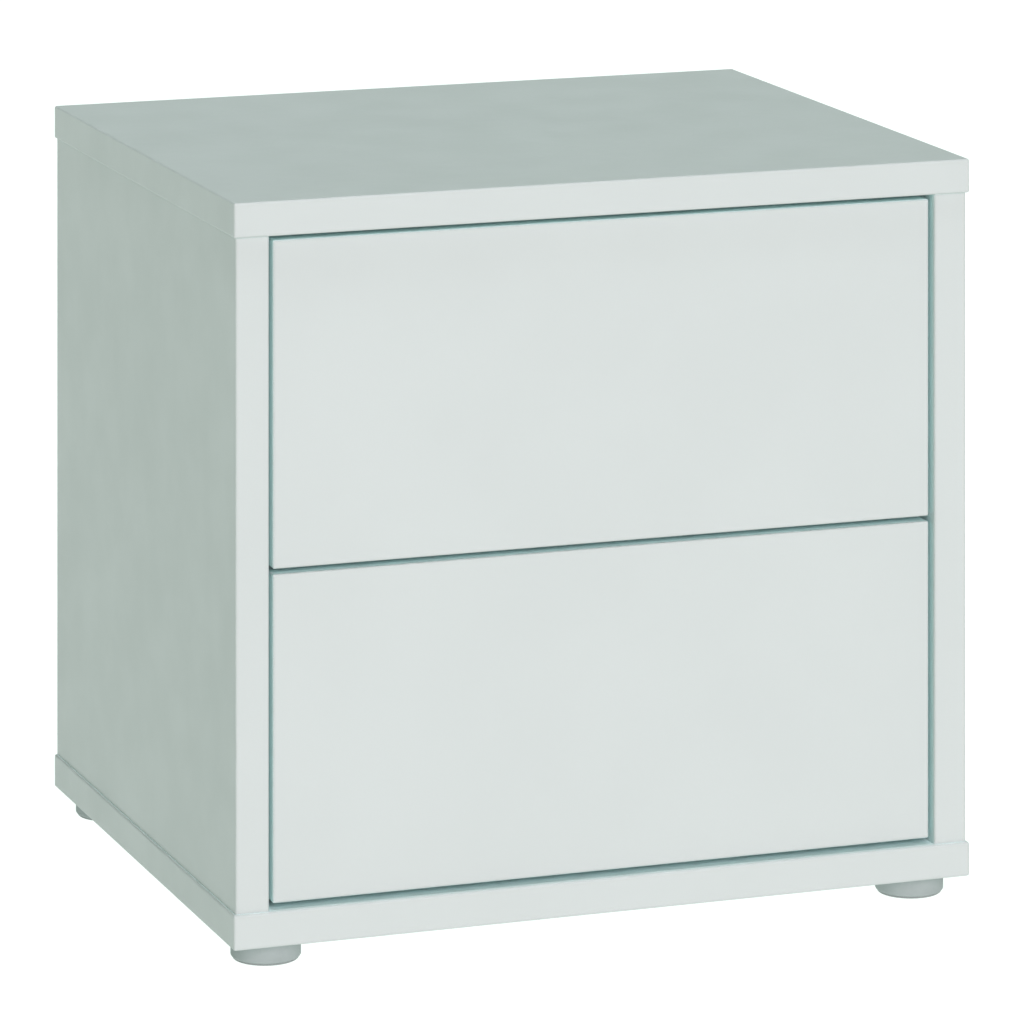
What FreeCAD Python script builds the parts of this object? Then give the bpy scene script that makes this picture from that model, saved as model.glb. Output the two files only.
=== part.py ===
import FreeCAD, Part
import math
import os
import Sketcher
from FreeCAD import Placement, Rotation, Vector

# Two-drawer nightstand of faced board, in millimetres.
# +Z is up, the front faces -Y, and the origin is on the floor under the middle of the case.
# Every size is an expression on the sheet "dims"; the names in capitals are derived sizes.

DIMENSIONS = {
    # case
    "width": 450, "depth": 373, "height": 432, "board": 19.8, "edge_round": 1.2,
    "overhang": 1.6, "front_step": 2,
    "groove": 8, "back_inset": 10, "hardboard": 3, "hardboard_slack": 0.2, "hardboard_round": 0.4,
    "back_tongue": 7.5,
    # feet
    "foot_height": 12.6, "foot_diameter": 40, "foot_round": 2.5,
    "foot_inset_side": 27, "foot_inset_front": 26.5, "foot_sink": 6.5, "foot_sink_diameter": 10,
    # drawers
    "front_recess": 2, "side_gap": 2.8, "top_gap": 3, "middle_gap": 3, "bottom_gap": 3.6,
    "box_board": 12, "box_height": 140, "box_depth": 300, "box_lift": 12, "box_round": 0.6,
    "bottom_lift": 8, "bottom_tongue": 5.7, "box_groove": 6,
    # ball-bearing runners
    "runner_width": 12.7, "runner_height": 45, "runner_length": 300, "runner_lift": 70, "runner_setback": 3,
    "steel": 1.2, "cabinet_reach": 10.2, "middle_start": 3.6, "middle_reach": 7.6, "drawer_reach": 7.8,
    "bend": 1, "ball": 4, "ball_slack": 0.1, "ball_pitch": 24,
    "cage_length": 140, "cage_width": 5, "cage_thick": 1, "outer_ball_reach": 6.9, "inner_ball_reach": 8.05,
    "runner_hole": 4.2, "runner_hole_pitch": 110,
    # cam fittings, dowels and screws; spare is the empty end of a blind bore
    "spare": 1, "fit_slack": 0.1, "nose_chamfer": 0.8,
    "collar_length": 2, "collar_slack": 0.2, "shank_slack": 1, "neck_step": 1.2, "neck_taper": 1,
    "bolt_neck_length": 4.5, "bolt_head_length": 2, "bolt_head_chamfer": 0.6,
    "cam_inset": 50, "dowel_inset": 90, "cam_setback": 34, "cam_diameter": 15, "cam_thick": 12.5,
    "cam_channel": 7.2, "bolt_bore": 8, "bolt_thread": 5, "bolt_grip": 11, "dowel": 8, "dowel_length": 30,
    "small_cam_setback": 24, "small_cam_diameter": 12, "small_cam_thick": 9.5, "small_cam_channel": 6.4,
    "small_bolt_bore": 7, "small_bolt_head": 5.6, "bolt_head": 6.4,
    "low_fixing": 25, "high_fixing": 115,
    "screw": 3.4, "screw_head": 7, "screw_head_thick": 1.8, "screw_head_round": 0.5, "through_slack": 0.4,
    "runner_pilot": 14, "runner_screw": 13, "box_screw": 10, "foot_pilot": 13,
    "corner_screw": 36, "foot_screw": 18, "foot_screw_head": 3, "latch_screw": 16,
    # push latches
    "latch_lift": 115, "latch_gap": 2.9, "latch_proud": 3, "latch_length": 27, "latch_half_height": 11,
    "latch_wall": 9, "latch_ear": 20, "latch_ear_thick": 4, "latch_screw_lift": 15.5,
    "latch_bore": 8, "latch_bore_depth": 26, "plunger": 7.9, "plunger_length": 23,
    "nose_flat": 1.2, "nose_edge": 0.3, "nose_rise": 0.4, "nose_length": 1.4,
    "spring_wire": 0.6, "spring_diameter": 6, "spring_length": 5, "spring_pitch": 0.9, "spring_gap": 0.2,
}

# Case
SIDE_HEIGHT = "(dims.height - dims.foot_height - 2 * dims.board)"
SIDE_Z = "(dims.foot_height + dims.board)"
TOP_Z = "(dims.height - dims.board)"
FRONT_Y = "(-dims.depth / 2)"
INNER_X = "(dims.width / 2 - dims.overhang - dims.board)"
BOARD_MID_X = "(dims.width / 2 - dims.overhang - dims.board / 2)"
PILOT = "(dims.screw + dims.fit_slack)"
DOWEL_BORE = "(dims.dowel + dims.fit_slack)"
DOWEL_SINK = "(dims.dowel_length / 3)"
THREAD_BORE = "(dims.bolt_thread + dims.fit_slack)"
GROOVE_WIDE = "(dims.hardboard + 2 * dims.hardboard_slack)"
GROOVE_Y = f"(dims.depth / 2 - dims.back_inset - {GROOVE_WIDE})"
# Drawer frame: x on the middle plane, y at the back of the front board, z at the box's lower edge
BOX_Y = f"({FRONT_Y} + dims.front_step + dims.front_recess + dims.board)"
FRONT_WIDE = f"(2 * {INNER_X} - 2 * dims.side_gap)"
FRONT_HIGH = f"(({SIDE_HEIGHT} - dims.top_gap - dims.middle_gap - dims.bottom_gap) / 2)"
LOWER_Z = f"({SIDE_Z} + dims.bottom_gap + dims.box_lift)"
UPPER_Z = f"({LOWER_Z} + {FRONT_HIGH} + dims.middle_gap)"
BOX_HALF = f"({INNER_X} - dims.runner_width)"
BOX_INNER = f"({BOX_HALF} - dims.box_board)"
BOX_MID = f"({BOX_HALF} - dims.box_board / 2)"
BOX_BACK = "(dims.box_depth - dims.box_board)"
# Runner frame: x from the case side towards the middle, y at the runner's centre, z at its mid height
RUNNER_Y = f"({BOX_Y} + dims.runner_setback + dims.runner_length / 2)"
CABINET_HALF = "(dims.runner_height / 2)"
OUTER_BALL = f"({CABINET_HALF} - dims.steel - dims.ball_slack - dims.ball / 2)"
MIDDLE_HALF = f"({OUTER_BALL} - dims.ball / 2 - dims.ball_slack)"
INNER_BALL = f"({MIDDLE_HALF} - dims.steel - dims.ball_slack - dims.ball / 2)"
DRAWER_HALF = f"({INNER_BALL} - dims.ball / 2 - dims.ball_slack)"
# Latch frame: the plunger's axis at the housing's front face
LATCH_Y = f"({BOX_Y} + dims.box_depth + dims.latch_gap + dims.latch_proud)"
LATCH_REACH = f"({INNER_X} - {BOX_MID})"
LATCH_SCREW_Y = f"({LATCH_Y} + dims.latch_length / 2)"

UPRIGHT = Rotation()
TURNED_OVER = Rotation(Vector(1, 0, 0), 180)
HALF_TURN = Rotation(Vector(0, 0, 1), 180)
# Turns that carry a piece's own +Z to a direction of the case
TO_LEFT = Rotation(Vector(0, 0, 1), Vector(-1, 0, 0))
TO_RIGHT = Rotation(Vector(0, 0, 1), Vector(1, 0, 0))
TO_FRONT = Rotation(Vector(1, 0, 0), 90)
TO_BACK = Rotation(Vector(1, 0, 0), -90)
BALLS_PER_STRIP = 6
MIRROR_SIGN = {"left": "-1", "right": "1"}
DRAWERS = {"lower": LOWER_Z, "upper": UPPER_Z}

doc = FreeCAD.newDocument("nightstand")
sheet = doc.addObject("Spreadsheet::Sheet", "dims")
for row, (alias, size) in enumerate(DIMENSIONS.items(), 1):
    sheet.set(f"A{row}", alias)
    sheet.set(f"B{row}", str(size))
    sheet.setAlias(f"B{row}", alias)
doc.recompute()
pieces = []


# ---------- drawing helpers ----------

def value(text):
    """The number that an expression gives now."""
    return float(sheet.evalExpression(text))


def keep(piece):
    """Mark an object as one of the nightstand's sub-parts."""
    piece.Label = piece.Name
    pieces.append(piece)
    return piece


def place(piece, x="0", y="0", z="0", turn=UPRIGHT):
    """Put an object at a bound position with a fixed turn."""
    piece.Placement = Placement(Vector(), turn)
    for axis, text in zip("xyz", (x, y, z)):
        piece.setExpression(f".Placement.Base.{axis}", text)


def sketch_on(body, role, away="0"):
    """Start a sketch on one of the body's own planes, moved along the plane's normal."""
    sketch = body.newObject("Sketcher::SketchObject", body.Name + "_sketch")
    plane = next(item for item in body.Origin.OriginFeatures if item.Role == role)
    sketch.AttachmentSupport = [(plane, "")]
    sketch.MapMode = "FlatFace"
    sketch.setExpression("AttachmentOffset.Base.z", away)
    return sketch


def bind(sketch, kind, ends, text):
    """Add a size constraint that follows an expression."""
    index = sketch.addConstraint(Sketcher.Constraint(kind, *ends, value(text)))
    sketch.setExpression(f"Constraints[{index}]", text)


def polygon(sketch, corners):
    """Draw a closed outline whose corners are pairs of expressions."""
    points = [Vector(value(x), value(y), 0) for x, y in corners]
    first = sketch.GeometryCount
    count = len(points)
    for side in range(count):
        sketch.addGeometry(Part.LineSegment(points[side], points[(side + 1) % count]))
    for side, (x, y) in enumerate(corners):
        following = first + (side + 1) % count
        sketch.addConstraint(Sketcher.Constraint("Coincident", first + side, 2, following, 1))
        bind(sketch, "DistanceX", (-1, 1, first + side, 1), x)
        bind(sketch, "DistanceY", (-1, 1, first + side, 1), y)


def rectangle(sketch, left, low, wide, high):
    """Draw a rectangle from its lower left corner and its two sizes."""
    right = f"{left} + {wide}"
    top = f"{low} + {high}"
    polygon(sketch, [(left, low), (right, low), (right, top), (left, top)])


def circle(sketch, x, y, diameter):
    """Draw a circle about a bound centre."""
    centre = Vector(value(x), value(y), 0)
    index = sketch.addGeometry(Part.Circle(centre, Vector(0, 0, 1), value(diameter) / 2))
    bind(sketch, "DistanceX", (-1, 1, index, 3), x)
    bind(sketch, "DistanceY", (-1, 1, index, 3), y)
    bind(sketch, "Diameter", (index,), diameter)


def pad(body, sketch, length, both_ways=False):
    """Raise a sketch along its plane's normal, or half each way."""
    feature = body.newObject("PartDesign::Pad", body.Name + "_pad")
    feature.Profile = sketch
    feature.Midplane = both_ways
    feature.setExpression("Length", length)
    return feature


def cut(body, sketch, depth, along_normal=False):
    """Sink a sketch into the body, against its plane's normal or along it."""
    feature = body.newObject("PartDesign::Pocket", body.Name + "_cut")
    feature.Profile = sketch
    feature.Reversed = along_normal
    feature.setExpression("Length", depth)
    return feature


def cut_through(body, sketch):
    """Cut a sketch right through the body, both ways."""
    feature = cut(body, sketch, "dims.width")
    feature.Midplane = True
    return feature


def soften(body, base, edges, radius):
    """Round the named edges of the body's last feature."""
    feature = body.newObject("PartDesign::Fillet", body.Name + "_round")
    feature.Base = (base, edges)
    feature.setExpression("Radius", radius)
    return feature


def edges_where(feature, wanted):
    """Names of the feature's edges that pass a test."""
    doc.recompute()
    return [f"Edge{number}" for number, edge in enumerate(feature.Shape.Edges, 1) if wanted(edge)]


def is_upright(edge):
    """Whether an edge runs straight up."""
    ends = [vertex.Point for vertex in edge.Vertexes]
    return math.isclose(abs((ends[-1] - ends[0]).z), edge.Length)


def board(name, left, near, wide, deep, high, round_radius="dims.edge_round", all_edges=True):
    """A board from the corner nearest the lower left, with softened edges."""
    body = doc.addObject("PartDesign::Body", name)
    outline = sketch_on(body, "XY_Plane")
    rectangle(outline, left, near, wide, deep)
    block = pad(body, outline, high)
    edges = edges_where(block, lambda edge: all_edges or is_upright(edge))
    soften(body, block, edges, round_radius)
    return body


def turned(name, outline):
    """A round piece: an outline of (radius, height) corners turned about its own Z axis."""
    body = doc.addObject("PartDesign::Body", name)
    sketch = sketch_on(body, "XZ_Plane")
    polygon(sketch, outline)
    feature = body.newObject("PartDesign::Revolution", name + "_turn")
    feature.Profile = sketch
    feature.ReferenceAxis = (sketch, ["V_Axis"])
    feature.Angle = 360
    return body


def cross_recess(body, face, arm, slot, depth):
    """Cut a cross for a screwdriver into the face at a height on the body's own Z axis."""
    for wide, high in ((arm, slot), (slot, arm)):
        sketch = sketch_on(body, "XY_Plane", face)
        rectangle(sketch, f"-{wide} / 2", f"-{high} / 2", wide, high)
        cut(body, sketch, depth)


def screw(name, length, head_thick="dims.screw_head_thick"):
    """A screw with its head above its own origin and its point below."""
    radius = "dims.screw / 2"
    head = "dims.screw_head / 2"
    point = f"-{length} + dims.screw"
    outline = [("0", head_thick), (f"{head} - dims.screw_head_round", head_thick),
               (head, f"{head_thick} - dims.screw_head_round"), (head, "0"),
               (radius, "0"), (radius, point), ("0", f"-{length}")]
    body = turned(name, outline)
    cross_recess(body, head_thick, f"({head})", f"({head} / 3)", "dims.screw_head_thick / 2")
    return body


def group(name, master, places):
    """One sub-part of identical pieces: copies of a master, each at its own place and turn."""
    copies = []
    for number, (x, y, z, turn) in enumerate(places, 1):
        copy = doc.addObject("App::Link", f"{name}_{number}")
        copy.LinkedObject = master
        place(copy, x, y, z, turn)
        copies.append(copy)
    whole = doc.addObject("Part::Compound", name)
    whole.Links = copies
    return keep(whole)


def bores(body, role, away, centres, diameter, depth, along_normal=False):
    """Drill equal round holes from one plane."""
    sketch = sketch_on(body, role, away)
    for x, y in centres:
        circle(sketch, x, y, diameter)
    cut(body, sketch, depth, along_normal)


# ---------- case ----------

CAM_YS = ["(-dims.depth / 2 + dims.cam_inset)", "(dims.depth / 2 - dims.cam_inset)"]
DOWEL_YS = ["(-dims.depth / 2 + dims.dowel_inset)", "(dims.depth / 2 - dims.dowel_inset)"]
SIGNS = ("-1", "1")


def make_flat_panel(name, z, inner_face, along_normal):
    """The top or bottom panel, grooved for the back and bored for the side panels' fittings."""
    body = board(name, "-dims.width / 2", FRONT_Y, "dims.width", "dims.depth", "dims.board")
    groove = sketch_on(body, "XY_Plane", inner_face)
    rectangle(groove, f"-({INNER_X} + dims.groove)", GROOVE_Y, f"2 * ({INNER_X} + dims.groove)", GROOVE_WIDE)
    cut(body, groove, "dims.groove", along_normal)
    bolt_holes = [(f"{sign} * {BOARD_MID_X}", y) for sign in SIGNS for y in CAM_YS]
    bores(body, "XY_Plane", inner_face, bolt_holes, THREAD_BORE,
          "dims.bolt_grip + dims.spare", along_normal)
    dowel_holes = [(f"{sign} * {BOARD_MID_X}", y) for sign in SIGNS for y in DOWEL_YS]
    bores(body, "XY_Plane", inner_face, dowel_holes, DOWEL_BORE,
          f"{DOWEL_SINK} + dims.spare", along_normal)
    place(body, z=z)
    return keep(body)


def make_bottom_panel():
    """The bottom panel, with pilot holes below for the foot screws."""
    body = make_flat_panel("bottom_panel", "dims.foot_height", "dims.board", False)
    bores(body, "XY_Plane", "0", foot_places().values(), PILOT, "dims.foot_pilot", True)


def make_side_panel(side):
    """A side panel, flush at the back, with a through groove, cam bores and runner pilot holes."""
    sign = MIRROR_SIGN[side]
    left = f"({sign} * {BOARD_MID_X} - dims.board / 2)"
    body = board(f"{side}_side_panel", left, f"{FRONT_Y} + dims.front_step", "dims.board",
                 "dims.depth - dims.front_step", SIDE_HEIGHT, all_edges=False)
    groove = sketch_on(body, "XY_Plane")
    inward = f"({sign} * {INNER_X} - dims.groove * (1 - {sign}) / 2)"
    rectangle(groove, inward, GROOVE_Y, "dims.groove", GROOVE_WIDE)
    cut(body, groove, SIDE_HEIGHT, along_normal=True)
    for face, along_normal in (("0", True), (SIDE_HEIGHT, False)):
        cams = [(f"{sign} * {BOARD_MID_X}", y) for y in CAM_YS]
        bores(body, "XY_Plane", face, cams, "dims.bolt_bore", "dims.cam_setback", along_normal)
        dowels = [(f"{sign} * {BOARD_MID_X}", y) for y in DOWEL_YS]
        bores(body, "XY_Plane", face, dowels, DOWEL_BORE,
              f"dims.dowel_length - {DOWEL_SINK} + dims.spare", along_normal)
    outward = side == "right"
    inner_face = f"{sign} * {INNER_X}"
    cam_bores = [(y, z) for y in CAM_YS for z in ("dims.cam_setback", f"{SIDE_HEIGHT} - dims.cam_setback")]
    bores(body, "YZ_Plane", inner_face, cam_bores, "dims.cam_diameter + dims.fit_slack",
          "dims.cam_thick + dims.spare / 2", outward)
    pilots = []
    for z in DRAWERS.values():
        pilots += [(y, f"{z} + dims.runner_lift - {SIDE_Z}") for y in runner_screw_ys()]
        latch_z = f"{z} + dims.latch_lift - {SIDE_Z}"
        pilots += [(LATCH_SCREW_Y, f"{latch_z} + {lift} * dims.latch_screw_lift") for lift in SIGNS]
    bores(body, "YZ_Plane", inner_face, pilots, PILOT, "dims.runner_pilot", outward)
    place(body, z=SIDE_Z)
    return keep(body)


def make_back_panel():
    """The hardboard back, held in the grooves of the four panels."""
    half = f"({INNER_X} + dims.back_tongue)"
    body = board("back_panel", f"-{half}", f"{GROOVE_Y} + dims.hardboard_slack", f"2 * {half}",
                 "dims.hardboard", f"{SIDE_HEIGHT} + 2 * dims.back_tongue", "dims.hardboard_round")
    place(body, z=f"{SIDE_Z} - dims.back_tongue")
    return keep(body)


def make_cam(name, diameter, thick, axis_depth, channel):
    """A cam lock whose face is on its own origin plane, hollowed below for the bolt's head."""
    body = doc.addObject("PartDesign::Body", name)
    outline = sketch_on(body, "XY_Plane", f"-({thick})")
    circle(outline, "0", "0", diameter)
    pad(body, outline, thick)
    hollow = sketch_on(body, "XY_Plane", f"-({thick})")
    rectangle(hollow, f"-{channel} / 2", f"-{channel} / 2", diameter, channel)
    cut(body, hollow, f"{thick} - {axis_depth} + {channel} / 2", along_normal=True)
    cross_recess(body, "0", f"({diameter} / 2)", f"({diameter} / 8)", f"{diameter} / 10")
    return body


def make_cam_bolt(name, reach, bore, head):
    """A cam bolt: thread above its own origin, then collar, shank, neck and head below, to a reach."""
    thread = "dims.bolt_thread / 2"
    collar = f"({bore} / 2 - dims.collar_slack)"
    shank = f"({bore} / 2 - dims.shank_slack)"
    neck = f"({head} / 2 - dims.neck_step)"
    head_top = f"(-{reach} + dims.bolt_head_length)"
    neck_top = f"({head_top} + dims.neck_taper + dims.bolt_neck_length)"
    outline = [("0", "dims.bolt_grip"), (f"{thread} - dims.bolt_head_chamfer", "dims.bolt_grip"),
               (thread, "dims.bolt_grip - dims.bolt_head_chamfer"), (thread, "0"),
               (collar, "0"), (collar, "-dims.collar_length"), (shank, "-dims.collar_length"),
               (shank, f"{neck_top} + dims.neck_taper"), (neck, neck_top),
               (neck, f"{head_top} + dims.neck_taper"), (f"{head} / 2", head_top),
               (f"{head} / 2", f"-{reach} + dims.bolt_head_chamfer"), ("0", f"-{reach}")]
    return turned(name, outline)


def make_dowel():
    """A beech dowel with chamfered ends, standing on its own origin."""
    radius = "dims.dowel / 2"
    tip = f"{radius} - dims.nose_chamfer"
    top = "dims.dowel_length"
    outline = [("0", "0"), (tip, "0"), (radius, "dims.nose_chamfer"), (radius, f"{top} - dims.nose_chamfer"),
               (tip, top), ("0", top)]
    return turned("dowel_master", outline)


def make_case_fittings():
    """Eight cams, eight cam bolts and eight dowels join the side panels to top and bottom."""
    cam = make_cam("cam_master", "dims.cam_diameter", "dims.cam_thick", "dims.board / 2", "dims.cam_channel")
    bolt = make_cam_bolt("cam_bolt_master", "(dims.cam_setback + dims.bolt_head_length)", "dims.bolt_bore",
                         "dims.bolt_head")
    dowel = make_dowel()
    cams, bolts, dowels = [], [], []
    for sign in SIGNS:
        facing = TO_RIGHT if sign == "-1" else TO_LEFT
        x = f"{sign} * {BOARD_MID_X}"
        ends = ((SIDE_Z, "1", TURNED_OVER), (TOP_Z, "-1", UPRIGHT))
        for end_z, inward, stance in ends:
            for y in CAM_YS:
                towards_end = Vector(0, 0, -float(inward))
                slot_to_end = Rotation(towards_end, Vector(), facing.multVec(Vector(0, 0, 1)), "ZXY")
                cams.append((f"{sign} * {INNER_X}", y, f"{end_z} + {inward} * dims.cam_setback", slot_to_end))
                bolts.append((x, y, end_z, stance))
            sink = f"{DOWEL_SINK}" if inward == "1" else f"(dims.dowel_length - {DOWEL_SINK})"
            for y in DOWEL_YS:
                dowels.append((x, y, f"{end_z} - {sink}", UPRIGHT))
    group("cam_locks", cam, cams)
    group("cam_bolts", bolt, bolts)
    group("wood_dowels", dowel, dowels)


# ---------- feet ----------

def foot_places():
    """The four feet's names and centres."""
    x = "(dims.width / 2 - dims.foot_inset_side)"
    y = "(dims.depth / 2 - dims.foot_inset_front)"
    return {f"foot_{end}_{side}": (f"{MIRROR_SIGN[side]} * {x}", f"{along} * {y}")
            for end, along in (("front", "-1"), ("rear", "1")) for side in MIRROR_SIGN}


def make_foot(name, x, y):
    """A moulded puck foot with a sunk screw hole."""
    body = doc.addObject("PartDesign::Body", name)
    outline = sketch_on(body, "XY_Plane")
    circle(outline, "0", "0", "dims.foot_diameter")
    puck = pad(body, outline, "dims.foot_height")
    lower_rim = edges_where(puck, lambda edge: edge.BoundBox.ZMax < value("dims.foot_height") / 2)
    soften(body, puck, lower_rim, "dims.foot_round")
    bores(body, "XY_Plane", "0", [("0", "0")], "dims.foot_sink_diameter", "dims.foot_sink", True)
    bores(body, "XY_Plane", "0", [("0", "0")], "dims.screw + dims.through_slack", "dims.foot_height", True)
    place(body, x, y)
    return keep(body)


def make_feet():
    """Four feet and the screws that hold them."""
    for name, (x, y) in foot_places().items():
        make_foot(name, x, y)
    fixing = screw("foot_screw_master", "dims.foot_screw", "dims.foot_screw_head")
    group("foot_screws", fixing, [(x, y, "dims.foot_sink", TURNED_OVER) for x, y in foot_places().values()])


# ---------- runners ----------

def runner_screw_ys():
    """Places along the runner of its screws, in the case's frame."""
    return [f"({RUNNER_Y} + {step} * dims.runner_hole_pitch)" for step in ("-1", "0", "1")]


def place_runner(piece, level, side, y=RUNNER_Y):
    """Stand a runner piece against its case side, facing the middle."""
    turn = UPRIGHT if side == "left" else HALF_TURN
    place(piece, f"{MIRROR_SIGN[side]} * {INNER_X}", y, f"{DRAWERS[level]} + dims.runner_lift", turn)


def channel(name, start, reach, half_height, opens_to_middle, holes):
    """A roll-formed channel along Y: a solid bar hollowed from its open side."""
    body = doc.addObject("PartDesign::Body", name)
    outline = sketch_on(body, "XZ_Plane")
    rectangle(outline, start, f"-{half_height}", reach, f"2 * {half_height}")
    bar = pad(body, outline, "dims.runner_length", both_ways=True)
    web_x = value(start) if opens_to_middle else value(f"{start} + {reach}")
    bends = edges_where(bar, lambda edge: edge.Length > value("dims.runner_length") / 2
                        and math.isclose(edge.CenterOfMass.x, web_x, abs_tol=1e-6))
    soften(body, bar, bends, "dims.bend")
    hollow = sketch_on(body, "XZ_Plane")
    hollow_start = f"{start} + dims.steel" if opens_to_middle else f"{start} - dims.steel"
    rectangle(hollow, hollow_start, f"-{half_height} + dims.steel", reach,
              f"2 * {half_height} - 2 * dims.steel")
    cut_through(body, hollow)
    if holes:
        drill = sketch_on(body, "YZ_Plane")
        for step in ("-1", "0", "1"):
            circle(drill, f"{step} * dims.runner_hole_pitch", "0", "dims.runner_hole")
        cut_through(body, drill)
    return keep(body)


def make_runner(level, side):
    """The three telescoping members of one runner."""
    name = f"{level}_{side}"
    cabinet = channel(f"{name}_cabinet_rail", "0", "dims.cabinet_reach", CABINET_HALF,
                      opens_to_middle=True, holes=True)
    place_runner(cabinet, level, side)
    middle = channel(f"{name}_middle_rail", "dims.middle_start", "dims.middle_reach", MIDDLE_HALF,
                     opens_to_middle=True, holes=False)
    place_runner(middle, level, side)
    start = "(dims.runner_width - dims.drawer_reach)"
    drawer = channel(f"{name}_drawer_rail", start, "dims.drawer_reach", DRAWER_HALF,
                     opens_to_middle=False, holes=True)
    place_runner(drawer, level, side, f"{RUNNER_Y} - dims.runner_setback")


def ball_ys():
    """Places of the balls along their strip, about its middle."""
    return [f"({2 * index - BALLS_PER_STRIP + 1} * dims.ball_pitch / 2)" for index in range(BALLS_PER_STRIP)]


def make_cage_strip(name):
    """One ball cage: a flat strip with a round window for each ball."""
    body = board(name, "-dims.cage_width / 2", "-dims.cage_length / 2", "dims.cage_width", "dims.cage_length",
                 "dims.cage_thick", "0.3", all_edges=False)
    bores(body, "XY_Plane", "0", [("0", y) for y in ball_ys()], "dims.ball + 0.2", "dims.cage_thick", True)
    return body


def make_ball_cages(strip, ball):
    """The cages and balls between the members of both runners of a drawer."""
    rows = {"outer": ("dims.outer_ball_reach", OUTER_BALL), "inner": ("dims.inner_ball_reach", INNER_BALL)}
    for level, drawer_z in DRAWERS.items():
        for row, (reach, track) in rows.items():
            strips, balls = [], []
            for side in SIGNS:
                x = f"{side} * ({INNER_X} - {reach})"
                for above in SIGNS:
                    z = f"({drawer_z} + dims.runner_lift + {above} * {track})"
                    strips.append((x, RUNNER_Y, f"{z} - dims.cage_thick / 2", UPRIGHT))
                    balls += [(x, f"{RUNNER_Y} + {y}", z, UPRIGHT) for y in ball_ys()]
            group(f"{level}_{row}_ball_cages", strip, strips)
            group(f"{level}_{row}_balls", ball, balls)


def make_runners():
    """Two runners for each drawer, with their cages, balls and screws."""
    for level in DRAWERS:
        for side in MIRROR_SIGN:
            make_runner(level, side)
    ball = doc.addObject("Part::Sphere", "ball_master")
    ball.setExpression("Radius", "dims.ball / 2")
    make_ball_cages(make_cage_strip("cage_master"), ball)
    fixing = screw("runner_screw_master", "dims.runner_screw")
    places = []
    for z in DRAWERS.values():
        for sign, turn in (("-1", TO_RIGHT), ("1", TO_LEFT)):
            x = f"{sign} * ({INNER_X} - dims.steel)"
            places += [(x, y, f"{z} + dims.runner_lift", turn) for y in runner_screw_ys()]
    group("cabinet_rail_screws", fixing, places)


# ---------- drawers ----------

FIXING_ZS = ("dims.low_fixing", "dims.high_fixing")


def make_drawer_front(level, z):
    """The front board, with a stopped groove for the bottom and bores for four cam bolts."""
    body = board(f"{level}_drawer_front", f"-{FRONT_WIDE} / 2", "-dims.board", FRONT_WIDE, "dims.board",
                 FRONT_HIGH)
    groove = sketch_on(body, "XZ_Plane")
    half = f"({BOX_INNER} + dims.box_groove)"
    rectangle(groove, f"-{half}", "dims.box_lift + dims.bottom_lift", f"2 * {half}", GROOVE_WIDE)
    cut(body, groove, "dims.box_groove", along_normal=True)
    centres = [(f"{sign} * {BOX_MID}", f"{lift} + dims.box_lift") for sign in SIGNS for lift in FIXING_ZS]
    bores(body, "XZ_Plane", "0", centres, THREAD_BORE, "dims.bolt_grip + dims.spare", True)
    place(body, y=BOX_Y, z=f"{z} - dims.box_lift")
    return keep(body)


def make_drawer_side(level, z, side):
    """A box side with its bottom groove, cam bores, corner screw holes and runner pilot holes."""
    sign = MIRROR_SIGN[side]
    left = f"({sign} * {BOX_MID} - dims.box_board / 2)"
    body = board(f"{level}_drawer_{side}_side", left, "0", "dims.box_board", "dims.box_depth",
                 "dims.box_height", "dims.box_round")
    groove = sketch_on(body, "XZ_Plane")
    start = f"({sign} * {BOX_INNER} - dims.box_groove * (1 - {sign}) / 2)"
    rectangle(groove, start, "dims.bottom_lift", "dims.box_groove", GROOVE_WIDE)
    cut(body, groove, f"{BOX_BACK} + dims.box_groove")
    ends = [(f"{sign} * {BOX_MID}", lift) for lift in FIXING_ZS]
    bores(body, "XZ_Plane", "0", ends, "dims.small_bolt_bore", "dims.small_cam_setback")
    outward = side == "right"
    cams = [("dims.small_cam_setback", lift) for lift in FIXING_ZS]
    bores(body, "YZ_Plane", f"{sign} * {BOX_INNER}", cams, "dims.small_cam_diameter + dims.fit_slack",
          "dims.small_cam_thick + dims.spare / 2", outward)
    corners = [(f"{BOX_BACK} + dims.box_board / 2", lift) for lift in FIXING_ZS]
    outer_face = f"{sign} * {BOX_HALF}"
    bores(body, "YZ_Plane", outer_face, corners, PILOT, "dims.box_board", not outward)
    bores(body, "YZ_Plane", outer_face, corners, "dims.screw_head + dims.fit_slack", "dims.screw_head_thick",
          not outward)
    pilots = [(f"dims.runner_length / 2 + {step} * dims.runner_hole_pitch", "dims.runner_lift")
              for step in ("-1", "0", "1")]
    bores(body, "YZ_Plane", outer_face, pilots, PILOT, "dims.box_screw", not outward)
    place(body, y=BOX_Y, z=z)
    return keep(body)


def make_drawer_back(level, z):
    """The box back, between the sides, with its bottom groove and end pilot holes."""
    body = board(f"{level}_drawer_back", f"-{BOX_INNER}", BOX_BACK, f"2 * {BOX_INNER}", "dims.box_board",
                 "dims.box_height", "dims.box_round")
    groove = sketch_on(body, "YZ_Plane")
    rectangle(groove, BOX_BACK, "dims.bottom_lift", "dims.box_groove", GROOVE_WIDE)
    cut_through(body, groove)
    for sign, outward in (("-1", True), ("1", False)):
        pilots = [(f"{BOX_BACK} + dims.box_board / 2", lift) for lift in FIXING_ZS]
        bores(body, "YZ_Plane", f"{sign} * {BOX_INNER}", pilots, PILOT,
              "dims.corner_screw + dims.screw_head_thick - dims.box_board + dims.spare", outward)
    place(body, y=BOX_Y, z=z)
    return keep(body)


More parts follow.
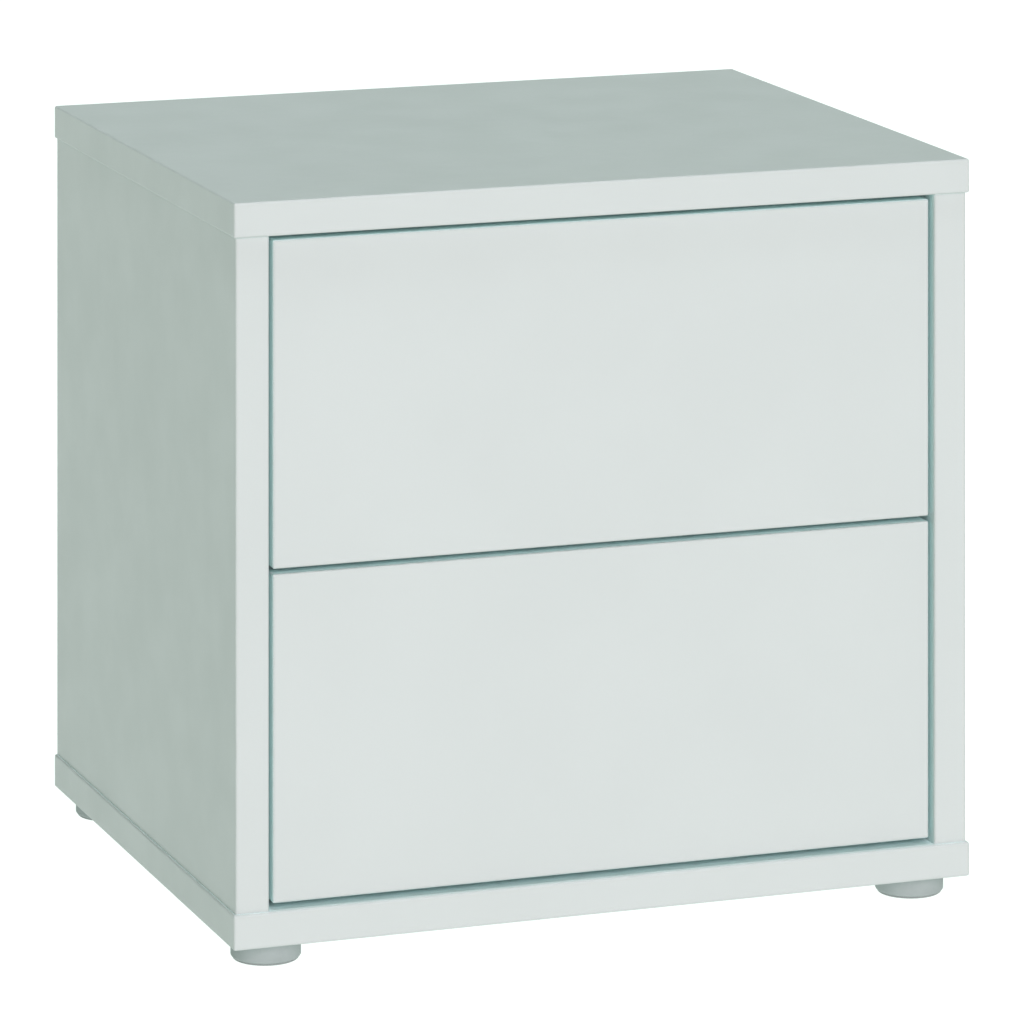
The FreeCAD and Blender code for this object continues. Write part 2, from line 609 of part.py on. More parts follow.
def make_drawer_bottom(level, z):
    """The hardboard bottom, held in the grooves of the box and the front."""
    half = f"({BOX_INNER} + dims.bottom_tongue)"
    body = board(f"{level}_drawer_bottom", f"-{half}", "-dims.bottom_tongue", f"2 * {half}",
                 f"{BOX_BACK} + 2 * dims.bottom_tongue", "dims.hardboard", "dims.hardboard_round")
    place(body, y=BOX_Y, z=f"{z} + dims.bottom_lift + dims.hardboard_slack")
    return keep(body)


def make_drawer_fittings(level, z, masters):
    """The cams, cam bolts, corner screws and runner screws of one drawer."""
    cam, bolt, corner_screw, rail_screw = masters
    cams, bolts, corners, rail_screws = [], [], [], []
    for sign, inward, outward in (("-1", TO_RIGHT, TO_LEFT), ("1", TO_LEFT, TO_RIGHT)):
        slot_to_front = Rotation(Vector(0, -1, 0), Vector(), inward.multVec(Vector(0, 0, 1)), "ZXY")
        for lift in FIXING_ZS:
            height = f"{z} + {lift}"
            cams.append((f"{sign} * {BOX_INNER}", f"{BOX_Y} + dims.small_cam_setback", height, slot_to_front))
            bolts.append((f"{sign} * {BOX_MID}", BOX_Y, height, TO_FRONT))
            corner_x = f"{sign} * ({BOX_HALF} - dims.screw_head_thick)"
            corners.append((corner_x, f"{BOX_Y} + {BOX_BACK} + dims.box_board / 2", height, outward))
        for y in runner_screw_ys():
            rail_x = f"{sign} * ({BOX_HALF} + dims.steel)"
            rail_screws.append((rail_x, f"{y} - dims.runner_setback", f"{z} + dims.runner_lift", outward))
    group(f"{level}_drawer_cams", cam, cams)
    group(f"{level}_drawer_cam_bolts", bolt, bolts)
    group(f"{level}_drawer_corner_screws", corner_screw, corners)
    group(f"{level}_drawer_rail_screws", rail_screw, rail_screws)


def make_drawers():
    """Two equal drawers."""
    masters = (
        make_cam("small_cam_master", "dims.small_cam_diameter", "dims.small_cam_thick", "dims.box_board / 2",
                 "dims.small_cam_channel"),
        make_cam_bolt("small_cam_bolt_master", "(dims.small_cam_setback + dims.bolt_head_length)",
                      "dims.small_bolt_bore", "dims.small_bolt_head"),
        screw("corner_screw_master", "dims.corner_screw"),
        screw("rail_screw_master", "dims.box_screw"),
    )
    for level, z in DRAWERS.items():
        make_drawer_front(level, z)
        for side in MIRROR_SIGN:
            make_drawer_side(level, z, side)
        make_drawer_back(level, z)
        make_drawer_bottom(level, z)
        make_drawer_fittings(level, z, masters)


# ---------- push latches ----------

def make_latch_housing(side):
    """A housing with two ears against the case side and a blind bore for the plunger."""
    sign = MIRROR_SIGN[side]
    reach = f"({LATCH_REACH} + dims.latch_wall)"
    left = "-dims.latch_wall" if side == "right" else f"-{LATCH_REACH}"
    body = doc.addObject("PartDesign::Body", f"{side}_latch_master")
    outline = sketch_on(body, "XZ_Plane", "-dims.latch_length")
    rectangle(outline, left, "-dims.latch_half_height", reach, "2 * dims.latch_half_height")
    block = pad(body, outline, "dims.latch_length")
    free_x = value("dims.latch_wall")
    edges = edges_where(block, lambda edge: math.isclose(abs(edge.CenterOfMass.x), free_x, abs_tol=1e-6))
    soften(body, block, edges, "dims.bend")
    ears = sketch_on(body, "XZ_Plane", "-dims.latch_length")
    ear_left = f"({sign} * {LATCH_REACH} - dims.latch_ear_thick * (1 + {sign}) / 2)"
    rectangle(ears, ear_left, "-dims.latch_ear", "dims.latch_ear_thick", "2 * dims.latch_ear")
    pad(body, ears, "dims.latch_length")
    bores(body, "XZ_Plane", "0", [("0", "0")], "dims.latch_bore", "dims.latch_bore_depth")
    drill = sketch_on(body, "YZ_Plane")
    for lift in SIGNS:
        circle(drill, "dims.latch_length / 2", f"{lift} * dims.latch_screw_lift",
               "dims.screw + dims.through_slack")
    cut_through(body, drill)
    return body


def make_plunger():
    """A latch plunger along its own Z axis: domed nose below its origin, shank above."""
    radius = "dims.plunger / 2"
    nose = "-dims.latch_proud"
    outline = [("0", nose), (f"{radius} - dims.nose_flat", nose),
               (f"{radius} - dims.nose_edge", f"{nose} + dims.nose_rise"),
               (radius, f"{nose} + dims.nose_length"),
               (radius, f"{nose} + dims.plunger_length"), ("0", f"{nose} + dims.plunger_length")]
    return turned("plunger_master", outline)


def make_spring():
    """A compression spring standing on its own origin, wound about Z."""
    body = doc.addObject("PartDesign::Body", "spring_master")
    wire = sketch_on(body, "XZ_Plane")
    circle(wire, "dims.spring_diameter / 2", "dims.spring_wire / 2", "dims.spring_wire")
    coil = body.newObject("PartDesign::AdditiveHelix", "spring_coil")
    coil.Profile = wire
    coil.ReferenceAxis = (wire, ["V_Axis"])
    coil.Mode = 0
    coil.setExpression("Pitch", "dims.spring_pitch")
    coil.setExpression("Height", "dims.spring_length")
    return body


def make_latches():
    """Two push latches behind each drawer."""
    housings = {side: make_latch_housing(side) for side in MIRROR_SIGN}
    plunger = make_plunger()
    spring = make_spring()
    fixing = screw("latch_screw_master", "dims.latch_screw")
    fixings = []
    for level, drawer_z in DRAWERS.items():
        z = f"({drawer_z} + dims.latch_lift)"
        copies = []
        plungers, springs = [], []
        for side, sign in MIRROR_SIGN.items():
            x = f"{sign} * {BOX_MID}"
            copy = doc.addObject("App::Link", f"{level}_{side}_latch")
            copy.LinkedObject = housings[side]
            place(copy, x, LATCH_Y, z)
            copies.append(copy)
            plungers.append((x, LATCH_Y, z, TO_BACK))
            behind = f"{LATCH_Y} - dims.latch_proud + dims.plunger_length + dims.spring_gap"
            springs.append((x, behind, z, TO_BACK))
            turn = TO_LEFT if side == "right" else TO_RIGHT
            screw_x = f"{sign} * ({INNER_X} - dims.latch_ear_thick)"
            for lift in SIGNS:
                screw_z = f"{z} + {lift} * dims.latch_screw_lift"
                fixings.append((screw_x, LATCH_SCREW_Y, screw_z, turn))
        pair = doc.addObject("Part::Compound", f"{level}_latch_housings")
        pair.Links = copies
        keep(pair)
        group(f"{level}_latch_plungers", plunger, plungers)
        group(f"{level}_latch_springs", spring, springs)
    group("latch_screws", fixing, fixings)


def check_document():
    """Stop if any feature failed or any sub-part has no sound shape."""
    doc.recompute()
    failed = [item.Name for item in doc.Objects if {"Invalid", "Error"} & set(item.State)]
    unsound = [piece.Label for piece in pieces if piece.Shape.isNull() or not piece.Shape.isValid()]
    if failed or unsound:
        raise RuntimeError(f"failed features: {failed}, unsound shapes: {unsound}")


make_bottom_panel()
make_flat_panel("top_panel", TOP_Z, "0", True)
for case_side in MIRROR_SIGN:
    make_side_panel(case_side)
make_back_panel()
make_case_fittings()
make_feet()
make_runners()
make_drawers()
make_latches()
check_document()
os.makedirs("parts", exist_ok=True)
for piece in pieces:
    piece.Shape.exportStep(f"parts/{piece.Label}.step")
print(f"{len(pieces)} sub-parts, {sum(len(piece.Shape.Solids) for piece in pieces)} solids")
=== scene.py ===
import math

import bmesh
import bpy
from mathutils import Matrix, Vector


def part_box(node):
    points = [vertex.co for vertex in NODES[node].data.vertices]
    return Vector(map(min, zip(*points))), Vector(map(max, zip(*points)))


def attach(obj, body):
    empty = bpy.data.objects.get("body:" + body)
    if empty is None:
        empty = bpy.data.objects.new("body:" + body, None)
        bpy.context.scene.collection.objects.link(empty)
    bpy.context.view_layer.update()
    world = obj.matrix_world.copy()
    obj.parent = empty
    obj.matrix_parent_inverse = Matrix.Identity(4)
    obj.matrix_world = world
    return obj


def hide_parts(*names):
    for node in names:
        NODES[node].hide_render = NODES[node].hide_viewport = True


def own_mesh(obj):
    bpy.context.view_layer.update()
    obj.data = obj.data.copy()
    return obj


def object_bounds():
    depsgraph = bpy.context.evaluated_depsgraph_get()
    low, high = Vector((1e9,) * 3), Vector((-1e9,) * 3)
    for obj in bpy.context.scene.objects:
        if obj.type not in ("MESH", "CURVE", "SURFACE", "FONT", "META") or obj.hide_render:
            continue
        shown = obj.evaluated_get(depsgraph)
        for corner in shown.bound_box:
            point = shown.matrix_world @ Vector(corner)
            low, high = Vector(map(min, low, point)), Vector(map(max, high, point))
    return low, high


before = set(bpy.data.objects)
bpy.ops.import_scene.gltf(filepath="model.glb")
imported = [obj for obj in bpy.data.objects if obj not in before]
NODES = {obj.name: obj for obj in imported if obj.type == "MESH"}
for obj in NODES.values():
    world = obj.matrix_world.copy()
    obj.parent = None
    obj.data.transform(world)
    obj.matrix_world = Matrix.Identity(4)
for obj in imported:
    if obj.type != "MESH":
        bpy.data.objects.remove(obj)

# Two-drawer nightstand in pale sage foil. Metres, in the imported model's own frame.
# Panels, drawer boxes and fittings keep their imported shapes, and get their materials here. The runner
# members, the feet and the latch springs are made here in finer detail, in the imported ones' places.

CAD_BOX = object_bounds()
SIZE = CAD_BOX[1] - CAD_BOX[0]
MM = 0.001
LEVELS = ("upper", "lower")
SIDES = ("left", "right")


# ---------- camera ----------

VIEW_YAW = math.radians(19.79)
VIEW_DIP = math.radians(12.456)
# The lens's place, counted in the cabinet's width: to the left, out from the front, and up.
VIEW_PLACE = Vector((-2.8205 * SIZE.x, CAD_BOX[0].y - 7.4718 * SIZE.x, 2.3022 * SIZE.x))
FILM_WIDTH = 36
LENS = 225.9


def make_camera():
    """A view camera, as used for furniture: the film stands upright, so upright edges stay parallel,
    while the lens looks down at the cabinet. The slant is in the stand; the lens isn't shifted."""
    right = Vector((math.cos(VIEW_YAW), -math.sin(VIEW_YAW), 0))
    level = Vector((math.sin(VIEW_YAW), math.cos(VIEW_YAW), 0))
    sight = level * math.cos(VIEW_DIP) - Vector((0, 0, math.sin(VIEW_DIP)))
    slant = Matrix((right, (0, 0, 1), -sight)).transposed().to_4x4()
    stand = bpy.data.objects.new("camera_stand", None)
    data = bpy.data.cameras.new("camera")
    data.sensor_width = FILM_WIDTH
    data.lens = LENS
    camera = bpy.data.objects.new("camera", data)
    for item in (stand, camera):
        bpy.context.scene.collection.objects.link(item)
    camera.parent = stand
    camera.matrix_parent_inverse = Matrix.Translation(VIEW_PLACE) @ slant
    bpy.context.scene.camera = camera


# ---------- node helpers ----------

# Most of a noise's values lie in this range.
NOISE_SPAN = (0.3, 0.7)
COAT_IOR = 1.45
# Painted gap shade: in narrow gaps the foil's colour is turned towards teal and made lighter, standing in
# for light bounced between close surfaces. The openness there runs from 0, closed in, to 1, free.
GAP_SHADE_REACH = 9 * MM
DEEP_GAP_SHADE = (1.36, 1.62, 1.64, 1)
SHALLOW_GAP_SHADE = (1.32, 1.47, 1.47, 1)
NO_TINT = (1, 1, 1, 1)
DEEP_TO_SHALLOW = (0.15, 0.45)
SHALLOW_TO_FREE = (0.42, 0.66)


def colour_sockets(sockets):
    """The ones that carry a colour."""
    return [socket for socket in sockets if socket.type == "RGBA"]


def shade(colour, factor):
    """A colour made lighter or darker, with its alpha of 1."""
    return (*(channel * factor for channel in colour), 1.0)


class Nodes:
    """A node tree, with short ways to add the nodes used here."""

    def __init__(self, tree):
        self.tree = tree
        self.coordinates = self.add("ShaderNodeTexCoord").outputs

    def feed(self, socket, wanted):
        """Link another node's socket to a socket, or set the socket's value."""
        if isinstance(wanted, bpy.types.NodeSocket):
            self.tree.links.new(wanted, socket)
        else:
            socket.default_value = wanted

    def add(self, kind, inputs=None, **settings):
        """Add a node; inputs are sockets to link or values to set."""
        made = self.tree.nodes.new(kind)
        for key, setting in settings.items():
            setattr(made, key, setting)
        for key, wanted in (inputs or {}).items():
            self.feed(made.inputs[key], wanted)
        return made

    def math(self, operation, *values):
        """A maths node's result."""
        return self.add("ShaderNodeMath", dict(enumerate(values)), operation=operation).outputs[0]

    def remap(self, value, low, high, new_low=0.0, new_high=1.0):
        """A value stretched from one range to another, smoothly and clamped."""
        inputs = {"Value": value, "From Min": low, "From Max": high, "To Min": new_low, "To Max": new_high}
        return self.add("ShaderNodeMapRange", inputs, interpolation_type="SMOOTHSTEP").outputs[0]

    def blend(self, amount, first, second, mode="MIX"):
        """A colour between two others or, with the mode MULTIPLY, their product."""
        made = self.add("ShaderNodeMix", data_type="RGBA", blend_type=mode)
        self.feed(made.inputs[0], amount)
        for socket, wanted in zip(colour_sockets(made.inputs), (first, second)):
            self.feed(socket, wanted)
        return colour_sockets(made.outputs)[0]


class Shader(Nodes):
    """A material's nodes."""

    def __init__(self, name):
        self.material = bpy.data.materials.new(name)
        self.material.use_nodes = True
        super().__init__(self.material.node_tree)
        self.surface = self.tree.nodes["Principled BSDF"]
        self.place = self.coordinates["Object"]

    def stretched(self, scales):
        """The object's own coordinates, scaled along each axis."""
        return self.add("ShaderNodeMapping", {"Vector": self.place, "Scale": scales}).outputs[0]

    def noise(self, size, detail=3.0, roughness=0.5, place=None):
        """Noise whose largest features are about a size, in metres."""
        inputs = {"Vector": place or self.place, "Scale": 1 / size, "Detail": detail, "Roughness": roughness}
        return self.add("ShaderNodeTexNoise", inputs).outputs[0]

    def bump(self, height, depth, under=None):
        """A bump of a depth in metres, on top of another one if given."""
        inputs = {"Height": height, "Distance": depth, "Strength": 1.0}
        if under:
            inputs["Normal"] = under
        return self.add("ShaderNodeBump", inputs).outputs[0]

    def painted_gap_shade(self, colour):
        """The colour with painted gap shade: turned towards teal and lighter where other surfaces stand
        close by, as in a narrow gap, standing in for the light bounced about there.
        """
        made = self.add("ShaderNodeAmbientOcclusion", {"Distance": GAP_SHADE_REACH}, samples=4)
        openness = made.outputs["AO"]
        tint = self.blend(self.remap(openness, *DEEP_TO_SHALLOW), DEEP_GAP_SHADE, SHALLOW_GAP_SHADE)
        tint = self.blend(self.remap(openness, *SHALLOW_TO_FREE), tint, NO_TINT)
        return self.blend(1.0, colour, tint, "MULTIPLY")

    def finish(self, colour, roughness, normal, metallic=0.0):
        """Wire the surface and return the material."""
        for key, wanted in (("Base Color", colour), ("Roughness", roughness), ("Normal", normal)):
            self.feed(self.surface.inputs[key], wanted)
        self.surface.inputs["Metallic"].default_value = metallic
        self.surface.inputs["IOR"].default_value = COAT_IOR
        return self.material


def edge_distance(shader, node):
    """Distance along a board's surface to its nearest edge: of the distances to the three pairs of
    faces, the middle one."""
    low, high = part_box(node)
    parts = shader.add("ShaderNodeSeparateXYZ", {0: shader.place}).outputs
    gaps = []
    for axis in range(3):
        middle = (low[axis] + high[axis]) / 2
        offset = shader.math("ABSOLUTE", shader.math("SUBTRACT", parts[axis], middle))
        gaps.append(shader.math("SUBTRACT", (high[axis] - low[axis]) / 2, offset))
    total = shader.math("ADD", shader.math("ADD", gaps[0], gaps[1]), gaps[2])
    least = shader.math("MINIMUM", shader.math("MINIMUM", gaps[0], gaps[1]), gaps[2])
    most = shader.math("MAXIMUM", shader.math("MAXIMUM", gaps[0], gaps[1]), gaps[2])
    return shader.math("SUBTRACT", shader.math("SUBTRACT", total, least), most)


# ---------- materials ----------

SAGE = (0.515, 0.555, 0.54)
BOX_SAGE = (0.505, 0.555, 0.535)
SKIN_GLOSS = 0.3
PORE_DEPTH = 0.012 * MM
PEEL_DEPTH = 0.01 * MM
# The edge band's seam: a hairline beside each edge of a board.
SEAM_INSET = 1.5 * MM
SEAM_HALF_WIDTH = 0.12 * MM
SEAM_STRENGTH = 0.16
SEAM_DEPTH = 0.05 * MM
# Painted shade on the boards' edges, so their rounding catches no more light than the faces: most within the
# first distance, not at all past the second.
ARRIS_SHADE_REACH = (0.2 * MM, 1.4 * MM)


def foil_board(node, colour=SAGE, roughness=(0.44, 0.56)):
    """Matt foil on board: cloudy tone, a fine pored skin, and an edge band whose seam shows as a hairline
    beside each edge;
    painted shade on the edge itself, a little darker in patches, and painted teal gap shade in narrow gaps."""
    shader = Shader(f"{node}_foil")
    clouds = shader.noise(90 * MM, detail=4)
    tone = shader.blend(shader.remap(clouds, *NOISE_SPAN), shade(colour, 0.99), shade(colour, 1.01))
    pores = shader.noise(0.55 * MM, detail=2, roughness=0.6)
    tone = shader.blend(shader.remap(pores, 0.35, 0.75, 0, 0.35), tone, shade(colour, 0.95))
    away = edge_distance(shader, node)
    off_seam = shader.math("ABSOLUTE", shader.math("SUBTRACT", away, SEAM_INSET))
    seam = shader.remap(off_seam, 0, SEAM_HALF_WIDTH, SEAM_STRENGTH, 0)
    tone = shader.blend(seam, tone, shade(colour, 0.62))
    # Painted shade on the rounded edges, broken into patches.
    patches = shader.remap(shader.noise(14 * MM, detail=5), *NOISE_SPAN, 0.7, 1.0)
    arris_shade = shader.math("MULTIPLY", shader.remap(away, *ARRIS_SHADE_REACH, 1, 0), patches)
    tone = shader.blend(arris_shade, tone, shade(colour, 0.86))
    handled = shader.noise(35 * MM, detail=5, roughness=0.6)
    gloss = shader.remap(handled, *NOISE_SPAN, *roughness)
    skin = shader.bump(pores, PORE_DEPTH)
    peel = shader.bump(shader.noise(3.5 * MM, detail=2), PEEL_DEPTH, under=skin)
    dip = shader.bump(seam, SEAM_DEPTH, under=peel)
    shader.surface.inputs["Specular IOR Level"].default_value = SKIN_GLOSS
    # Painted gap shade: teal and lighter where other surfaces stand close.
    return shader.finish(shader.painted_gap_shade(tone), gloss, dip)


def hardboard(name, colour):
    """Lacquered hardboard: fibres matted in all directions under a thin coat."""
    shader = Shader(name)
    fibres = shader.noise(1.6 * MM, detail=6, roughness=0.7, place=shader.stretched((1, 1, 0.35)))
    clouds = shader.noise(120 * MM, detail=3)
    tone = shader.blend(shader.remap(fibres, 0.35, 0.7), shade(colour, 0.94), shade(colour, 1.02))
    tone = shader.blend(shader.remap(clouds, 0.35, 0.65, 0, 0.4), tone, shade(colour, 0.93))
    gloss = shader.remap(fibres, *NOISE_SPAN, 0.48, 0.66)
    return shader.finish(tone, gloss, shader.bump(fibres, 0.04 * MM))


def rolled_steel(name, colour, roughness=(0.24, 0.42)):
    """Zinc-plated strip: rolling streaks along its length and a faint spangle."""
    shader = Shader(name)
    streaks = shader.noise(2.5 * MM, detail=5, roughness=0.6, place=shader.stretched((1, 0.02, 1)))
    spangle = shader.add("ShaderNodeTexVoronoi", {"Vector": shader.place, "Scale": 1 / (5 * MM)}).outputs[0]
    tone = shader.blend(shader.remap(spangle, 0, 0.9, 0, 0.5), shade(colour, 1.04), shade(colour, 0.9))
    tone = shader.blend(shader.remap(streaks, 0.4, 0.7, 0, 0.35), tone, shade(colour, 0.78))
    gloss = shader.remap(streaks, *NOISE_SPAN, *roughness)
    return shader.finish(tone, gloss, shader.bump(streaks, 0.01 * MM), metallic=1.0)


def cast_zinc(name, colour):
    """Die-cast zinc: grainy, dull and slightly blotched."""
    shader = Shader(name)
    grains = shader.noise(0.7 * MM, detail=5, roughness=0.7)
    blotches = shader.noise(6 * MM, detail=3)
    tone = shader.blend(shader.remap(blotches, 0.35, 0.65), shade(colour, 0.86), shade(colour, 1.06))
    gloss = shader.remap(grains, *NOISE_SPAN, 0.34, 0.55)
    return shader.finish(tone, gloss, shader.bump(grains, 0.03 * MM), metallic=1.0)


def moulded_plastic(name, colour, roughness=(0.42, 0.55), specular=0.5):
    """Moulded plastic with a fine spark-eroded grain and a little scuffing."""
    shader = Shader(name)
    grains = shader.noise(0.4 * MM, detail=2, roughness=0.6)
    scuffs = shader.noise(9 * MM, detail=6, roughness=0.65)
    tone = shader.blend(shader.remap(scuffs, 0.45, 0.75), shade(colour, 1.0), shade(colour, 0.93))
    gloss = shader.remap(scuffs, *NOISE_SPAN, *roughness)
    shader.surface.inputs["Specular IOR Level"].default_value = specular
    return shader.finish(tone, gloss, shader.bump(grains, 0.02 * MM))


def felt_pad_and_edge_shade():
    """Grey needled felt: matted fibres, dull and a little fuzzy at the rim. Its dark grey also serves as
    painted shade along each foot's bottom edge.
    """
    shader = Shader("foot_felt")
    fibres = shader.noise(0.5 * MM, detail=6, roughness=0.75)
    lumps = shader.noise(3 * MM, detail=3)
    tone = shader.blend(shader.remap(fibres, *NOISE_SPAN), (0.17, 0.193, 0.186, 1), (0.31, 0.34, 0.332, 1))
    tone = shader.blend(shader.remap(lumps, 0.4, 0.7, 0, 0.4), tone, (0.20, 0.22, 0.213, 1))
    gloss = shader.remap(fibres, *NOISE_SPAN, 0.85, 0.98)
    shader.surface.inputs["Sheen Weight"].default_value = 0.3
    return shader.finish(tone, gloss, shader.bump(fibres, 0.15 * MM))


def beech(name):
    """Plain beech along Z: pale growth bands and short dark flecks."""
    shader = Shader(name)
    bands = shader.noise(2.2 * MM, detail=4, place=shader.stretched((1, 1, 0.06)))
    flecks = shader.noise(0.6 * MM, detail=2, place=shader.stretched((1, 1, 0.15)))
    tone = shader.blend(shader.remap(bands, *NOISE_SPAN), (0.50, 0.31, 0.16, 1), (0.66, 0.45, 0.26, 1))
    tone = shader.blend(shader.remap(flecks, 0.6, 0.75, 0, 0.6), tone, (0.36, 0.20, 0.10, 1))
    gloss = shader.remap(bands, *NOISE_SPAN, 0.5, 0.68)
    return shader.finish(tone, gloss, shader.bump(bands, 0.05 * MM))


def dress(material, *nodes):
    """Give CAD nodes a material."""
    for node in nodes:
        slots = NODES[node].data.materials
        slots.clear()
        slots.append(material)


def dress_nightstand():
    """Give every CAD node its material, and make the pieces that replace some of them."""
    for node in ("top_panel", "bottom_panel", "left_side_panel", "right_side_panel"):
        dress(foil_board(node), node)
    dress(hardboard("back_hardboard", (0.64, 0.67, 0.655)), "back_panel")
    zinc_cast = cast_zinc("cam_zinc", (0.60, 0.60, 0.61))
    zinc_plate = rolled_steel("zinc_plated_steel", (0.66, 0.67, 0.69))
    ball_steel = rolled_steel("ball_steel", (0.72, 0.72, 0.73), roughness=(0.08, 0.16))
    nylon = moulded_plastic("black_nylon", (0.02, 0.02, 0.022))
    housing = moulded_plastic("latch_housing", (0.58, 0.61, 0.60))
    acetal = moulded_plastic("white_acetal", (0.78, 0.78, 0.76), roughness=(0.3, 0.4))
    foot = moulded_plastic("foot_plastic", (0.321, 0.364, 0.355), roughness=(0.5, 0.62), specular=0.05)
    box_bottom = hardboard("drawer_hardboard", (0.58, 0.61, 0.60))
    dress(zinc_cast, "cam_locks")
    dress(zinc_plate, "cam_bolts", "foot_screws", "cabinet_rail_screws", "latch_screws")
    dress(beech("beech"), "wood_dowels")
    make_feet((foot, felt_pad_and_edge_shade()))
    for level in LEVELS:
        dress(foil_board(f"{level}_drawer_front"), f"{level}_drawer_front")
        for part in ("left_side", "right_side", "back"):
            node = f"{level}_drawer_{part}"
            dress(foil_board(node, BOX_SAGE, roughness=(0.5, 0.62)), node)
        dress(box_bottom, f"{level}_drawer_bottom")
        dress(zinc_cast, f"{level}_drawer_cams")
        for fastener in ("cam_bolts", "corner_screws", "rail_screws"):
            dress(zinc_plate, f"{level}_drawer_{fastener}")
        for side in SIDES:
            make_runner(level, side, zinc_plate)
        for row in ("outer", "inner"):
            dress(nylon, f"{level}_{row}_ball_cages")
            dress(ball_steel, f"{level}_{row}_balls")
        dress(housing, f"{level}_latch_housings")
        dress(acetal, f"{level}_latch_plungers")
        make_springs(level, ball_steel)


# ---------- mesh helpers ----------

SHARP_ANGLE = math.radians(35)


def circle(count, first=0):
    """Evenly spaced angles round a full turn, the first one a number of steps from 0."""
    return [2 * math.pi * (step + first) / count for step in range(count)]


def bridge(mesh, ring, ahead):
    """Faces between two closed rings with as many points as each other."""
    count = len(ring)
    faces = []
    for spot in range(count):
        after = (spot + 1) % count
        faces.append(mesh.faces.new((ring[spot], ring[after], ahead[after], ahead[spot])))
    return faces


def as_object(name, mesh):
    """An object holding a bmesh's shape."""
    data = bpy.data.meshes.new(name)
    mesh.to_mesh(data)
    mesh.free()
    made = bpy.data.objects.new(name, data)
    bpy.context.scene.collection.objects.link(made)
    return made


# ---------- runner members ----------

STEEL = 1.2 * MM
# The ball rows' middles: reach from the cabinet's side, and height over the runner's centre.
OUTER_BALL = (6.9 * MM, 19.2 * MM)
INNER_BALL = (8.05 * MM, 13.8 * MM)
# The radius of a track's groove, and of the steel's middle line round it.
GROOVE = 2.1 * MM
TRACK = GROOVE + STEEL / 2
ARC_STEP_DEGREES = 14


def track(ball, first, last):
    """Points of a ball track, from one angle in degrees to another, round a ball's centre."""
    steps = abs(last - first) // ARC_STEP_DEGREES
    turns = (math.radians(first + (last - first) * step / steps) for step in range(steps + 1))
    return [(ball[0] + TRACK * math.cos(turn), ball[1] + TRACK * math.sin(turn)) for turn in turns]


def in_mm(*points):
    """Points given in millimetres, in metres."""
    return [(across * MM, up * MM) for across, up in points]


# The upper half of each member's middle line, as reach and height: a web, a bend and a ball track.
CABINET_BEND = in_mm((0.6, 0), (0.6, 18.0), (0.9, 19.4), (1.9, 20.5), (3.2, 20.75))
MIDDLE_BEND = in_mm((4.2, 0), (4.2, 14.6), (4.4, 15.8), (5.0, 16.4), (5.7, 16.3))
DRAWER_BEND = in_mm((12.1, 0), (12.1, 9.6), (11.8, 10.9), (11.0, 11.7))
MEMBER_LINES = {
    "cabinet": CABINET_BEND + track(OUTER_BALL, 146, -8),
    "middle": MIDDLE_BEND + track(INNER_BALL, 126, 28),
    "drawer": DRAWER_BEND + track(INNER_BALL, -42, -140),
}
MEMBER_BODIES = {"cabinet": "case", "middle": "{}_middle_rails", "drawer": "{}_drawer"}
# Holes are a width and a length. Screw holes are a step apart, and slots lie at parts of that step.
ROUND_HOLE = (4.4 * MM, 4.4 * MM)
SCREW_STEP = 110 * MM
SLOT_HOLE = (5 * MM, 11 * MM)
SLOT_PLACES = (-0.78, -0.5, 0.5, 0.78)
WINDOW_HOLE = (6 * MM, 16 * MM)
WINDOW_PLACE = 122 * MM
HOLE_STEPS = 24
CUTTER_REACH = (-4 * MM, 16 * MM)


def strip_outline(line):
    """The closed outline of a strip of steel whose middle line is a line mirrored about height 0."""
    lower_half = [Vector((across, -up)) for across, up in reversed(line[1:])]
    middle = lower_half + [Vector(point) for point in line]
    sides = ([], [])
    for place, point in enumerate(middle):
        before = middle[max(place - 1, 0)]
        after = middle[min(place + 1, len(middle) - 1)]
        along = (after - before).normalized()
        out = Vector((along.y, -along.x)) * STEEL / 2
        sides[0].append(point + out)
        sides[1].append(point - out)
    return sides[0] + sides[1][::-1]


def swept(outline, ends, to_world):
    """A bar of an outline's section between two places along its length, its ends closed."""
    mesh = bmesh.new()
    rings = []
    for along in ends:
        rings.append([mesh.verts.new(to_world(point.x, along, point.y)) for point in outline])
    bridge(mesh, *rings)
    count = len(outline)
    for ring in rings:
        for spot in range(count // 2 - 1):
            mesh.faces.new((ring[spot], ring[spot + 1], ring[count - 2 - spot], ring[count - 1 - spot]))
    bmesh.ops.recalc_face_normals(mesh, faces=mesh.faces)
    return mesh


def hole_cutter(places, to_world):
    """Rods through a member's web: each place has a distance along the member, a width and a length."""
    mesh = bmesh.new()
    for along, wide, long in places:
        straight = (long - wide) / 2
        rim = []
        for turn in circle(HOLE_STEPS, first=0.5):
            shift = math.copysign(straight, math.cos(turn))
            rim.append((along + shift + wide / 2 * math.cos(turn), wide / 2 * math.sin(turn)))
        ends = [[mesh.verts.new(to_world(reach, *spot)) for spot in rim] for reach in CUTTER_REACH]
        bridge(mesh, *ends)
        for end in ends:
            mesh.faces.new(end)
    bmesh.ops.recalc_face_normals(mesh, faces=mesh.faces)
    return mesh


def pierce(bar, cutter):
    """Cut one object's shape out of another, and drop the cutter."""
    cut = bar.modifiers.new("holes", "BOOLEAN")
    cut.object = cutter
    cut.solver = "EXACT"
    bpy.context.view_layer.update()
    graph = bpy.context.evaluated_depsgraph_get()
    shape = bpy.data.meshes.new_from_object(bar.evaluated_get(graph))
    bar.modifiers.clear()
    bar.data = shape
    shape.name = bar.name
    bpy.data.objects.remove(cutter)
    for face in shape.polygons:
        face.use_smooth = True
    shape.set_sharp_from_angle(angle=SHARP_ANGLE)


